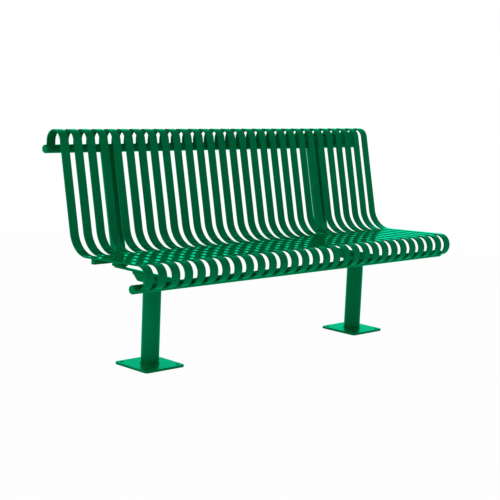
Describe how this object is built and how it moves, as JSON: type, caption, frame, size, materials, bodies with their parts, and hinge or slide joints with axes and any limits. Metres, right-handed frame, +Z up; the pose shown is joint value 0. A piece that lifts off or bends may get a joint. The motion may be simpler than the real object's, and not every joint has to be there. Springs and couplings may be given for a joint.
{
  "type": "park bench with back",
  "caption": "Slatted steel park bench with a back: bent flat straps on round rails, held by two posts on square floor plates.",
  "frame": {"origin": "on the floor, at the bottom centre of the bench's box", "axes": "+X along the bench to the sitter's left, +Y to the back, +Z up"},
  "size_m": [1.8474, 0.6518, 0.9204],
  "materials": {
    "green_coating": "smooth gloss green powder coat on steel",
    "green_plug": "green domed plastic plug"
  },
  "bodies": {
    "root": {"slat_01": "green_coating", "slat_02": "green_coating", "slat_03": "green_coating", "slat_04": "green_coating", "slat_05": "green_coating", "slat_06": "green_coating", "slat_07": "green_coating", "slat_08": "green_coating", "slat_09": "green_coating", "slat_10": "green_coating", "slat_11": "green_coating", "slat_12": "green_coating", "slat_13": "green_coating", "slat_14": "green_coating", "slat_15": "green_coating", "slat_16": "green_coating", "slat_17": "green_coating", "slat_18": "green_coating", "slat_19": "green_coating", "slat_20": "green_coating", "slat_21": "green_coating", "slat_22": "green_coating", "slat_23": "green_coating", "slat_24": "green_coating", "slat_25": "green_coating", "slat_26": "green_coating", "slat_27": "green_coating", "slat_28": "green_coating", "slat_29": "green_coating", "rear_rail": "green_coating", "front_rail": "green_coating", "seat_bar": "green_coating", "left_floor_plate": "green_coating", "left_post": "green_coating", "left_post_cap": "green_coating", "left_doubler": "green_coating", "left_gusset": "green_coating", "left_arm": "green_coating", "left_upright_foot": "green_coating", "left_upright": "green_coating", "right_floor_plate": "green_coating", "right_post": "green_coating", "right_post_cap": "green_coating", "right_doubler": "green_coating", "right_gusset": "green_coating", "right_arm": "green_coating", "right_upright_foot": "green_coating", "right_upright": "green_coating", "rear_rail_cap_left": "green_plug", "rear_rail_cap_right": "green_plug", "front_rail_cap_left": "green_plug", "front_rail_cap_right": "green_plug"}
  },
  "joints": []
}
